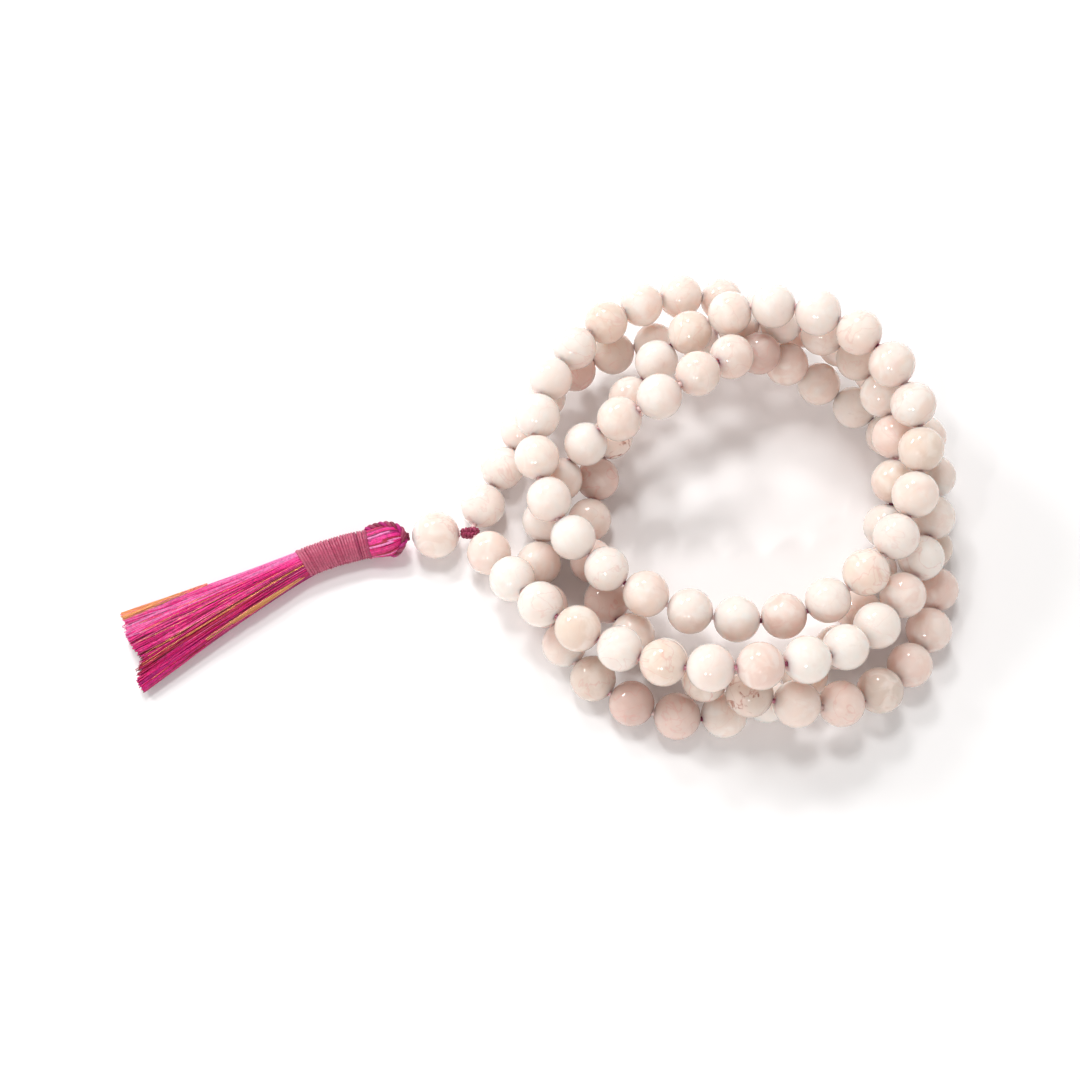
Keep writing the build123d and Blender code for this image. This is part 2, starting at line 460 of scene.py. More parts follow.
@dataclass(frozen=True)
class MetallicFilament:
    """Metallised film wound on a core thread: bright, with glints where it kinks."""

    name: str = "metallised_thread"
    roughness: float = 0.28

    def material(self) -> bpy.types.Material:
        """Build the filament's finish.

        Returns:
            A metal that reads the attribute tint of the threads.
        """
        finish, tree, place = new_finish(self.name)
        tint = add_node(tree, "ShaderNodeAttribute", {"attribute_name": "tint"})
        kink = add_node(
            tree,
            "ShaderNodeTexNoise",
            {"Scale": 1 / (0.5 * MM), "Detail": 2.0},
            {"Vector": place},
        )
        bump = add_node(
            tree,
            "ShaderNodeBump",
            {"Strength": 1.0, "Distance": 0.12 * MM},
            {"Height": kink.outputs["Fac"]},
        )
        surface = add_node(
            tree,
            "ShaderNodeBsdfPrincipled",
            {"Roughness": self.roughness, "Metallic": 0.8},
            {"Base Color": tint.outputs["Color"], "Normal": bump.outputs["Normal"]},
        )
        add_node(tree, "ShaderNodeOutputMaterial", links={"Surface": surface.outputs[0]})
        return finish


@dataclass(frozen=True)
class WaxedCord:
    """The dyed, waxed nylon that the beads are strung on."""

    name: str = "waxed_stringing_cord"
    pale: str = "f1d6d1"
    rose: str = "d0879a"
    dark: str = "7a2342"

    def material(self) -> bpy.types.Material:
        """Build the cord's finish: mostly rubbed pale, with lengths that are still dark.

        Returns:
            A procedural material.
        """
        finish, tree, place = new_finish(self.name)
        fleck = add_node(
            tree,
            "ShaderNodeTexNoise",
            {"Scale": 1 / (0.25 * MM), "Detail": 2.0},
            {"Vector": place},
        )
        length = add_node(
            tree, "ShaderNodeTexNoise", {"Scale": 1 / (5.5 * MM), "Detail": 0.0}, {"Vector": place}
        )
        amount = add_node(
            tree,
            "ShaderNodeMath",
            {"operation": "MULTIPLY_ADD", 1: 0.3},
            {0: fleck.outputs["Fac"], 2: length.outputs["Fac"]},
        )
        ramp = add_node(tree, "ShaderNodeValToRGB", links={"Fac": amount.outputs[0]})
        stops = ((0.48, linear(self.dark)), (0.56, linear(self.rose)), (0.64, linear(self.pale)))
        set_stops(ramp, stops)
        surface = add_node(
            tree,
            "ShaderNodeBsdfPrincipled",
            {"Roughness": 0.5, "IOR": 1.5},
            {"Base Color": ramp.outputs["Color"]},
        )
        add_node(tree, "ShaderNodeOutputMaterial", links={"Surface": surface.outputs[0]})
        return finish


# ---------------------------------------------------------------- beads


@dataclass(frozen=True)
class Ball:
    """One drilled ball where the CAD has it: its centre, radius and the way it is drilled."""

    centre: Vector
    radius: float
    bore: Vector

    def exits(self) -> tuple[Vector, Vector]:
        """The two points where its hole comes out."""
        return self.centre - self.bore * self.radius, self.centre + self.bore * self.radius


def balls_in(node: bpy.types.Object) -> list[Ball]:
    """Find the drilled balls in a CAD node.

    Args:
        node: a CAD node of one or more balls.

    Returns:
        The balls, in no particular order.
    """
    mesh = node.data
    places = np.empty(len(mesh.vertices) * 3)
    mesh.vertices.foreach_get("co", places)
    places = places.reshape(-1, 3)
    _, first, where = np.unique(
        np.round(places / (0.002 * MM)).astype(np.int64),
        axis=0,
        return_index=True,
        return_inverse=True,
    )
    where = where.ravel()
    corners = np.empty(len(mesh.loops), np.int32)
    mesh.loops.foreach_get("vertex_index", corners)
    faces = where[corners].reshape(-1, 3)
    label = np.arange(len(first))
    while True:
        lowest = label[faces].min(axis=1)
        before = label.copy()
        for corner in range(3):
            np.minimum.at(label, faces[:, corner], lowest)
        label = label[label]
        if (label == before).all():
            break
    found = []
    for name in np.unique(label):
        points = places[first][label == name]
        middle = (points.min(axis=0) + points.max(axis=0)) / 2
        skin = points
        for _ in range(3):
            far = np.linalg.norm(points - middle, axis=1)
            skin = points[far > 0.985 * far.max()]
            sums = np.column_stack([2 * skin, np.ones(len(skin))])
            answer = np.linalg.lstsq(sums, (skin**2).sum(axis=1), rcond=None)[0]
            middle = answer[:3]
        radius = math.sqrt(answer[3] + middle @ middle)
        inner = points[np.linalg.norm(points - middle, axis=1) < 0.97 * radius] - middle
        bore = np.linalg.svd(inner, full_matrices=False)[2][0]
        found.append(Ball(Vector(middle), radius, Vector(bore)))
    return found


@dataclass
class DrilledBead:
    """The pattern that every bead is copied from: a ball of radius 1 with its hole along Z."""

    segments: int = 32
    rings: int = 16
    hole: float = 0.125
    mouth: float = 0.0625
    mesh: bpy.types.Mesh | None = None

    def model(self) -> None:
        """Model the ball, open its poles, countersink them and join them with the hole's wall."""
        deselect_all()
        bpy.ops.mesh.primitive_uv_sphere_add(
            segments=self.segments, ring_count=self.rings, radius=1.0
        )
        ball = bpy.context.object
        bpy.ops.object.mode_set(mode="EDIT")
        pick(ball, lambda place: abs(place.z) > 0.9999)
        bpy.ops.mesh.delete(type="VERT")
        rim = math.sin(math.pi / self.rings)
        for side in (1.0, -1.0):
            level = side * math.cos(math.pi / self.rings)
            pick(ball, lambda place, level=level: abs(place.z - level) < 1e-4)
            bpy.ops.mesh.extrude_edges_move(
                TRANSFORM_OT_translate={"value": (0.0, 0.0, -side * self.mouth)}
            )
            share = self.hole / rim
            bpy.ops.transform.resize(
                value=(share, share, 1.0), center_override=(0.0, 0.0, level - side * self.mouth)
            )
        inner = math.cos(math.pi / self.rings) - self.mouth
        pick(
            ball,
            lambda place: abs(abs(place.z) - inner) < 1e-4 and place.xy.length < 1.5 * self.hole,
        )
        bpy.ops.mesh.bridge_edge_loops(number_cuts=3, smoothness=0.0)
        bpy.ops.mesh.select_all(action="SELECT")
        bpy.ops.mesh.remove_doubles(threshold=1e-5)
        bpy.ops.mesh.normals_make_consistent(inside=False)
        bpy.ops.object.mode_set(mode="OBJECT")
        bpy.ops.object.shade_smooth_by_angle(angle=math.radians(42))
        self.mesh = ball.data.copy()
        bpy.data.objects.remove(ball)

    def at(self, ball: Ball, turn: float) -> bpy.types.Mesh:
        """Copy the pattern to a ball's place.

        Args:
            ball: where it goes.
            turn: how far it is turned about its own hole.

        Returns:
            The bead's own mesh, with the nearness of its hole in the attribute bored.
        """
        mesh = self.mesh.copy()
        places = np.empty(len(mesh.vertices) * 3, np.float32)
        mesh.vertices.foreach_get("co", places)
        places = places.reshape(-1, 3)
        off_axis = np.hypot(places[:, 0], places[:, 1])
        rim = math.sin(math.pi / self.rings)
        near = np.exp(-np.maximum(off_axis - rim, 0) / 0.11)
        attribute = mesh.attributes.new("bored", "FLOAT", "POINT")
        attribute.data.foreach_set("value", near.astype(np.float32))
        turned = ball.bore.to_track_quat("Z", "Y").to_matrix().to_4x4()
        mesh.transform(
            Matrix.Translation(ball.centre)
            @ turned
            @ Matrix.Rotation(turn, 4, "Z")
            @ Matrix.Scale(ball.radius, 4)
        )
        return mesh


@dataclass(frozen=True)
class Look:
    """How one bead differs from its neighbours."""

    stone: Stone
    cloudy: float
    veined: float
    iron: float


@dataclass
class BeadString:
    """The 108 beads in the order they are strung, each with its own look."""

    pattern: DrilledBead
    quartz: bpy.types.Material
    seed: int = 29
    # the beads that stand out from the batch, by their place on the string
    special: dict[int, Look] = field(
        default_factory=lambda: {
            5: Look(Stone.SAND, 0.3, 0.3, 0.1),
            24: Look(Stone.SAND, 0.3, 0.2, 0.0),
            37: Look(Stone.PEACH, 0.6, 0.3, 0.0),
            47: Look(Stone.SAND, 0.4, 0.2, 0.0),
            50: Look(Stone.BLUSH, 0.3, 1.0, 0.8),
            51: Look(Stone.DUSTY, 0.2, 0.4, 0.0),
            53: Look(Stone.ROSE, 0.3, 0.2, 0.0),
            54: Look(Stone.DUSTY, 0.1, 0.3, 0.1),
            57: Look(Stone.GREY_SAND, 0.3, 0.5, 0.1),
            58: Look(Stone.GREY_SAND, 0.1, 0.5, 0.7),
            60: Look(Stone.ROSE, 0.2, 0.3, 0.0),
            61: Look(Stone.GREY_SAND, 0.4, 0.2, 0.0),
            72: Look(Stone.BROWN_ROSE, 0.2, 0.3, 0.0),
            83: Look(Stone.GREY_SAND, 0.2, 0.3, 0.1),
            84: Look(Stone.BROWN_ROSE, 0.1, 0.3, 0.0),
            85: Look(Stone.DUSTY, 0.1, 0.3, 0.0),
            96: Look(Stone.GREY_SAND, 0.2, 0.2, 0.0),
            102: Look(Stone.GREY_SAND, 0.1, 0.2, 0.0),
            103: Look(Stone.DUSTY, 0.1, 0.4, 0.0),
        }
    )

    def order(self, nodes: dict[str, bpy.types.Object]) -> list[tuple[str, Ball]]:
        """Follow the string from the knot, from hole to hole.

        Args:
            nodes: the CAD nodes by name.

        Returns:
            The node and the ball of each bead in turn.
        """
        left = [
            (name, ball)
            for name in sorted(nodes)
            if name.startswith("bead_")
            for ball in balls_in(nodes[name])
        ]
        low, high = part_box("string_knot")
        knot = (low + high) / 2
        by_knot = sorted(left, key=lambda item: min((e - knot).length for e in item[1].exits()))
        current = min(by_knot[:2], key=lambda item: item[1].centre.y)
        strung = []
        hand = knot
        while True:
            strung.append(current)
            left.remove(current)
            hand = max(current[1].exits(), key=lambda place: (place - hand).length)
            if not left:
                return strung
            current = min(
                left, key=lambda item: min((e - hand).length for e in item[1].exits())
            )

    def look(self, number: int, dice: np.random.Generator) -> Look:
        """Choose a bead's look.

        Args:
            number: its place on the string.
            dice: the seeded source of chance.

        Returns:
            The look, special or an everyday one of the batch.
        """
        stone = dice.choice(
            np.array([Stone.MILKY, Stone.BLUSH, Stone.ROSE, Stone.SAND], dtype=object),
            p=[0.46, 0.4, 0.09, 0.05],
        )
        everyday = Look(
            stone,
            float(dice.uniform(0.2, 0.75)),
            float(dice.uniform(0.0, 0.5) ** 2),
            float(dice.uniform(0, 0.1)),
        )
        return self.special.get(number, everyday)

    def build(self, nodes: dict[str, bpy.types.Object], bodies: dict[str, str]) -> None:
        """Make every bead and join those of one CAD node.

        Args:
            nodes: the CAD nodes by name.
            bodies: the body of each node.
        """
        dice = np.random.default_rng(self.seed)
        by_node: dict[str, list[bpy.types.Object]] = {}
        strung = self.order(nodes)
        LOG.info("%d beads on the string", len(strung))
        for number, (node, ball) in enumerate(strung):
            mesh = self.pattern.at(ball, float(dice.uniform(0, 2 * math.pi)))
            paint(mesh, self.look(number, dice), dice)
            bead = bpy.data.objects.new("bead", mesh)
            bpy.context.scene.collection.objects.link(bead)
            by_node.setdefault(node, []).append(bead)
        for node, beads in by_node.items():
            whole = joined(beads)
            finish_piece(
                whole, f"quartz_{node}", bodies[node], self.quartz, [node]
            )


def paint(mesh: bpy.types.Mesh, look: Look, dice: np.random.Generator) -> None:
    """Write a bead's look into its mesh.

    Args:
        mesh: the bead's own mesh, with the attribute bored.
        look: its look.
        dice: the seeded source of chance.
    """
    base = np.array(linear(look.stone.value))
    base[:3] *= dice.uniform(0.96, 1.03)
    put_colour(mesh, "stone", np.clip(base, 0, 1))
    bored = np.empty(len(mesh.vertices), np.float32)
    mesh.attributes["bored"].data.foreach_get("value", bored)
    marks = np.empty((len(bored), 4), np.float32)
    marks[:, 0] = look.cloudy
    marks[:, 1] = look.veined
    marks[:, 2] = look.iron
    dyed = dice.uniform(0.55, 1.0) if dice.uniform() < 0.3 else dice.uniform(0.1, 0.35)
    marks[:, 3] = bored * dyed
    put_colour(mesh, "marks", marks)


def joined(parts: Sequence[bpy.types.Object]) -> bpy.types.Object:
    """Join several objects into the first one.

    Args:
        parts: mesh objects.

    Returns:
        The one that is left.
    """
    deselect_all()
    for part in parts:
        part.select_set(True)
    bpy.context.view_layer.objects.active = parts[0]
    if len(parts) > 1:
        bpy.ops.object.join()
    return bpy.context.view_layer.objects.active


# ---------------------------------------------------------------- threads


@dataclass
class Strand:
    """One thread of a bundle: its line, its thickness and its colour."""

    points: np.ndarray
    radius: float
    colour: str
    taper: float = 1.0


def lay_strands(strands: Sequence[Strand], sides: int = 0, smooth: int = 2) -> bpy.types.Object:
    """Make one mesh of many threads.

    Args:
        strands: the threads.
        sides: 0 for a four-sided thread, and two sides more for each step.
        smooth: pieces that each span of a thread's line is divided into.

    Returns:
        A mesh object with each thread's colour in the attribute tint.
    """
    meshes = []
    for count in sorted({len(strand.points) for strand in strands}):
        alike = [strand for strand in strands if len(strand.points) == count]
        curve = bpy.data.curves.new("threads", "CURVE")
        curve.dimensions = "3D"
        curve.bevel_depth = 1.0
        curve.bevel_resolution = sides
        curve.resolution_u = smooth
        curve.use_fill_caps = True
        for strand in alike:
            spline = curve.splines.new("NURBS")
            spline.points.add(count - 1)
            rows = np.column_stack([strand.points, np.ones(count)])
            spline.points.foreach_set("co", rows.ravel())
            widths = strand.radius * np.linspace(1.0, strand.taper, count)
            spline.points.foreach_set("radius", widths)
            spline.order_u = 3
            spline.use_endpoint_u = True
        threads = bpy.data.objects.new("threads", curve)
        bpy.context.scene.collection.objects.link(threads)
        make_active(threads)
        bpy.ops.object.convert(target="MESH")
        threads = bpy.context.object
        each = len(threads.data.vertices) // len(alike)
        tints = np.repeat(np.array([linear(strand.colour) for strand in alike]), each, axis=0)
        put_colour(threads.data, "tint", tints)
        make_active(threads)
        bpy.ops.object.shade_smooth()
        meshes.append(threads)
    return joined(meshes)


def plied(
    line: np.ndarray, plies: int, ply_radius: float, lay: float, phase: float = 0.0
) -> list[np.ndarray]:
    """Twist several plies round a line.

    Args:
        line: points along the cord, evenly spaced.
        plies: how many threads are twisted together.
        ply_radius: how far each runs from the middle.
        lay: length of one full turn.
        phase: where the first ply starts, in radians.

    Returns:
        One line of points for each ply.
    """
    along = np.gradient(line, axis=0)
    along /= np.linalg.norm(along, axis=1, keepdims=True)
    side = np.empty_like(line)
    seed = np.cross(along[0], (0.0, 0.0, 1.0))
    if np.linalg.norm(seed) < 1e-6:
        seed = np.array((1.0, 0.0, 0.0))
    side[0] = seed / np.linalg.norm(seed)
    for k in range(1, len(line)):
        drift = side[k - 1] - along[k] * (side[k - 1] @ along[k])
        side[k] = drift / np.linalg.norm(drift)
    other = np.cross(along, side)
    run = np.concatenate([[0], np.cumsum(np.linalg.norm(np.diff(line, axis=0), axis=1))])
    lines = []
    for number in range(plies):
        angle = phase + 2 * math.pi * (number / plies + run / lay)
        lines.append(
            line
            + ply_radius * (np.cos(angle)[:, None] * side + np.sin(angle)[:, None] * other)
        )
    return lines


def smooth_line(corners: Iterable[Sequence[float]], count: int) -> np.ndarray:
    """Draw a smooth line through a few points.

    Args:
        corners: the points.
        count: how many points the line gets.

    Returns:
        Evenly spaced points along it.
    """
    p = np.array([tuple(c) for c in corners], float)
    p = np.vstack([2 * p[0] - p[1], p, 2 * p[-1] - p[-2]])
    t = np.linspace(0, 1, 24, endpoint=False)[:, None]
    spans = [
        0.5
        * (
            2 * b
            + (c - a) * t
            + (2 * a - 5 * b + 4 * c - d) * t**2
            + (3 * b - a - 3 * c + d) * t**3
        )
        for a, b, c, d in zip(p, p[1:], p[2:], p[3:])
    ]
    fine = np.vstack([*spans, p[-2:-1]])
    run = np.concatenate([[0], np.cumsum(np.linalg.norm(np.diff(fine, axis=0), axis=1))])
    wanted = np.linspace(0, run[-1], count)
    return np.column_stack([np.interp(wanted, run, fine[:, k]) for k in range(3)])


class ThreadColour(Enum):
    """The dye lots that the tassel is made of; WINE and DEEP_CRIMSON also colour the hidden cores
    as painted shade, and LILAC_PINK stands partly for the silk's shine as painted highlight.
    """

    FUCHSIA = "d0116e"
    MAGENTA = "b01070"
    HOT_PINK = "e62a8a"
    ROSE_PINK = "ec5f9f"
    CRIMSON = "a50a38"
    DEEP_CRIMSON = "72082a"
    LILAC_PINK = "e582bb"
    PLUM = "850f52"
    ORANGE = "f6a874"
    GOLD = "e9bd7c"
    SALMON = "bb5672"
    WARM_ROSE = "ae4563"
    DUSTY_ROSE = "9e385b"
    WINE = "7d1f3d"


def bent_core(
    radius: float,
    sides: int,
    cuts: int,
    course: Callable[[Vector], np.ndarray],
    crease: float,
    colour: ThreadColour,
) -> bpy.types.Object:
    """Model the closed bundle under a layer of threads, from a straight cylinder.

    Args:
        radius: of the cylinder, which is one unit long.
        sides: how many sides it has.
        cuts: how many rings it is divided by.
        course: gives the place in the tassel for a place on the cylinder.
        crease: edges sharper than this many degrees stay sharp.
        colour: its colour; the callers give dark ones, as painted shade seen between the threads
            over it.

    Returns:
        The bundle.
    """
    deselect_all()
    bpy.ops.mesh.primitive_cylinder_add(vertices=sides, radius=radius, depth=1.0)
    body = bpy.context.object
    bpy.ops.object.mode_set(mode="EDIT")
    pick(body, lambda place: abs(place.z) < 0.25, "EDGE")
    bpy.ops.mesh.subdivide(number_cuts=cuts)
    bpy.ops.object.mode_set(mode="OBJECT")
    for vertex in body.data.vertices:
        vertex.co = course(vertex.co.copy())
    make_active(body)
    bpy.ops.object.mode_set(mode="EDIT")
    bpy.ops.mesh.select_all(action="SELECT")
    bpy.ops.mesh.normals_make_consistent(inside=False)
    bpy.ops.object.mode_set(mode="OBJECT")
    bpy.ops.object.shade_smooth_by_angle(angle=math.radians(crease))
    put_colour(body.data, "tint", np.array(linear(colour.value)))
    return body


# ---------------------------------------------------------------- tassel and knot


@dataclass
class TasselFrame:
    """Where the tassel's parts lie: the same route as the part's own, with the tie's middle read
    from its node.
    """

    head_heading: float = 186.0
    head_length: float = 7.0 * MM
    binding_length: float = 12.6 * MM
    binding_radius: float = 2.75 * MM
    binding_headings: tuple[float, float] = (191.0, 206.0)
    skirt_heading: float = 209.5
    skirt_length: float = 33.2 * MM
    table_gap: float = 0.03 * MM
    tie: np.ndarray = field(default_factory=lambda: np.zeros(3))
    head_end: np.ndarray = field(default_factory=lambda: np.zeros(3))

    def read(self) -> None:
        """Take the tie's middle from its node and work out where the head ends."""
        low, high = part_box("tassel_tie")
        self.tie = np.array((low + high) / 2)
        end = self.tie + self.heading(self.head_heading) * self.head_length
        end[2] = self.binding_radius + self.table_gap
        self.head_end = end

    @staticmethod
    def heading(degrees: float) -> np.ndarray:
        """Unit vector in the ground plane."""
        return np.array((math.cos(math.radians(degrees)), math.sin(math.radians(degrees)), 0.0))

    def head_axes(self) -> tuple[np.ndarray, np.ndarray, np.ndarray]:
        """The head's own directions: along it, to its left, and upwards."""
        along = self.head_end - self.tie
        along /= np.linalg.norm(along)
        left = np.cross(UP, along)
        left /= np.linalg.norm(left)
        return along, left, np.cross(along, left)

    def in_head(self, along: float, left: float, up: float) -> np.ndarray:
        """A place in the head, in millimetres from the tie."""
        forward, aside, upward = self.head_axes()
        return self.tie + MM * (along * forward + left * aside + up * upward)

    def binding_at(self, share: float) -> tuple[np.ndarray, np.ndarray, np.ndarray]:
        """The bound neck's middle line.

        Args:
            share: 0 at the head, 1 at the skirt.

        Returns:
            The middle, the direction along the neck and the one to its left.
        """
        start, end = (math.radians(angle) for angle in self.binding_headings)
        turn = end - start
        radius = self.binding_length / turn
        angle = start + turn * share
        middle = self.head_end + radius * np.array(
            (math.sin(angle) - math.sin(start), math.cos(start) - math.cos(angle), 0.0)
        )
        along = np.array((math.cos(angle), math.sin(angle), 0.0))
        return middle, along, np.cross(UP, along)


@dataclass
class TasselHead:
    """The ball of folded threads above the binding, and the cord loop drawn through it."""

    frame: TasselFrame
    silk: bpy.types.Material
    cord: bpy.types.Material
    threads: int = 54
    thread_radius: float = 0.24 * MM
    outline: tuple[tuple[float, float], ...] = (
        (0.55, 0.9),
        (0.9, 1.7),
        (1.8, 2.42),
        (3.4, 2.78),
        (5.2, 2.62),
        (6.6, 2.45),
        (7.6, 2.4),
    )
    core_radius: float = 2.45 * MM
    seed: int = 5

    def build(self) -> None:
        """Make the core, the folded threads and the loop of cord."""
        dice = np.random.default_rng(self.seed)
        # the lilac-pink threads are partly dye and partly painted highlight, the silk's shine laid
        # in as a pale colour
        lots = [ThreadColour.FUCHSIA, ThreadColour.MAGENTA, ThreadColour.HOT_PINK]
        lots += [ThreadColour.LILAC_PINK, ThreadColour.CRIMSON, ThreadColour.PLUM]
        weights = [0.34, 0.2, 0.2, 0.12, 0.08, 0.06]
        strands = []
        for number in range(self.threads):
            angle = 2 * math.pi * (number + dice.uniform(-0.2, 0.2)) / self.threads
            twist = dice.uniform(0.25, 0.5)
            sink = dice.uniform(-0.07, 0.03)
            points = []
            for reach, radius in self.outline:
                here = angle + twist * (1 - reach / self.outline[-1][0]) ** 1.5
                points.append(
                    self.frame.in_head(
                        reach, (radius + sink) * math.cos(here), (radius + sink) * math.sin(here)
                    )
                )
            colour = dice.choice(np.array(lots, dtype=object), p=weights).value
            strands.append(Strand(np.array(points), self.thread_radius, colour))
        folded = lay_strands(strands, sides=1, smooth=3)
        whole = joined([folded, self.core()])
        finish_piece(whole, "silk_head", "tassel", self.silk, ["tassel_head"])
        finish_piece(self.loop(), "hanging_loop", "tassel", self.cord)

    def core(self) -> bpy.types.Object:
        """The inside of the ball, seen only between the threads, coloured dark wine as painted
        shade.
        """
        deselect_all()
        bpy.ops.mesh.primitive_uv_sphere_add(segments=24, ring_count=14, radius=self.core_radius)
        ball = bpy.context.object
        bpy.ops.object.mode_set(mode="EDIT")
        pick(ball, lambda place: place.z > 0)
        bpy.ops.transform.translate(value=(0.0, 0.0, 1.2 * MM))
        pick(ball, lambda place: place.z < 0)
        bpy.ops.transform.resize(value=(1.0, 1.0, 1.1), center_override=(0.0, 0.0, 0.0))
        bpy.ops.object.mode_set(mode="OBJECT")
        forward, aside, upward = self.frame.head_axes()
        turned = Matrix((aside, upward, forward)).transposed().to_4x4()
        middle = Vector(self.frame.in_head(3.6, 0, 0))
        ball.data.transform(Matrix.Translation(middle) @ turned)
        make_active(ball)
        bpy.ops.object.shade_smooth()
        # dark wine: painted shade between the folded threads
        put_colour(ball.data, "tint", np.array(linear(ThreadColour.WINE.value)))
        return ball

    def loop(self) -> bpy.types.Object:
        """The two-ply cord that comes out of the binding, round the ball's tip and back under."""
        # along the head, to its left and up, in millimetres from the tie
        course = (
            (7.1, -2.25, 1.35),
            (5.2, -2.45, 1.6),
            (3.2, -2.35, 1.75),
            (1.6, -1.7, 1.7),
            (0.45, -0.6, 1.35),
            (0.3, 0.85, 1.0),
            (1.1, 1.95, 0.4),
            (2.2, 2.45, -0.5),
            (3.4, 2.2, -1.6),
        )
        line = smooth_line((self.frame.in_head(*point) for point in course), 46)
        colours = (ThreadColour.WINE, ThreadColour.DUSTY_ROSE, ThreadColour.MAGENTA)
        plies = [
            Strand(points, 0.36 * MM, colour.value)
            for points, colour in zip(plied(line, 3, 0.34 * MM, 3.2 * MM), colours)
        ]
        return lay_strands(plies, sides=1, smooth=2)


@dataclass
class TasselBinding:
    """The neck, wound with one long thread whose turns lean over."""

    frame: TasselFrame
    thread: bpy.types.Material
    pitch: float = 0.47 * MM
    thread_radius: float = 0.27 * MM
    lean: float = 0.1
    steps: int = 20
    seed: int = 11

    def build(self) -> None:
        """Wind the neck and close its ends with thicker turns."""
        dice = np.random.default_rng(self.seed)
        turns = int(self.frame.binding_length / self.pitch)
        radius = self.frame.binding_radius - self.thread_radius + 0.02 * MM
        strands = []
        shades = [ThreadColour.SALMON, ThreadColour.WARM_ROSE, ThreadColour.DUSTY_ROSE]
        for turn in range(turns):
            ease = dice.normal(0, 0.04 * MM)
            proud = dice.uniform(-0.05, 0.06) * MM
            first, last = turn / turns, (turn + 1) / turns
            points = []
            for step in range(self.steps + 1):
                angle = 2 * math.pi * step / self.steps
                share = first + (last - first) * step / self.steps
                middle, along, left = self.frame.binding_at(share)
                lean = self.lean * (0.2 + 1.2 * share)
                out = math.cos(angle) * left + math.sin(angle) * UP
                reach = radius + proud
                slip = ease * math.sin(angle / 2) - math.cos(angle + 0.4) * lean * radius
                points.append(middle + out * reach + along * slip)
            colour = shades[int(dice.choice(3, p=[0.5, 0.42, 0.08]))].value
            strands.append(Strand(np.array(points), self.thread_radius, colour))
        strands.append(self.ridge(0.02, radius + 0.04 * MM, ThreadColour.DUSTY_ROSE))
        strands.append(self.ridge(0.97, radius, ThreadColour.SALMON))
        wound = lay_strands(strands, sides=1, smooth=1)
        whole = joined([wound, self.core()])
        finish_piece(
            whole, "neck_binding", "tassel", self.thread, ["tassel_binding"]
        )

    def ridge(self, share: float, radius: float, colour: ThreadColour) -> Strand:
        """A proud turn that locks the end of the winding.

        Args:
            share: where along the neck.
            radius: its radius.
            colour: its dye lot.

        Returns:
            The turn.
        """
        middle, along, left = self.frame.binding_at(share)
        points = []
        for step in range(self.steps + 1):
            angle = 2 * math.pi * step / self.steps
            out = math.cos(angle) * left + math.sin(angle) * UP
            slip = math.cos(angle + 0.4) * self.lean * (0.35 + share) * radius
            points.append(middle + out * radius - along * slip)
        return Strand(np.array(points), self.thread_radius * 1.25, colour.value)

    def core(self) -> bpy.types.Object:
        """The bundle under the winding, as one closed body that follows the neck's bend, dark wine
        as painted shade between the turns.
        """

        def bend(place: Vector) -> np.ndarray:
            middle, along, left = self.frame.binding_at(place.z * 0.98 + 0.5)
            lean = self.lean * (0.85 + place.z)
            return middle + left * place.x + UP * place.y - along * (place.x * lean)

        radius = self.frame.binding_radius - 0.42 * MM
        # dark wine: painted shade in the gaps between the turns
        return bent_core(radius, 24, 7, bend, 40, ThreadColour.WINE)


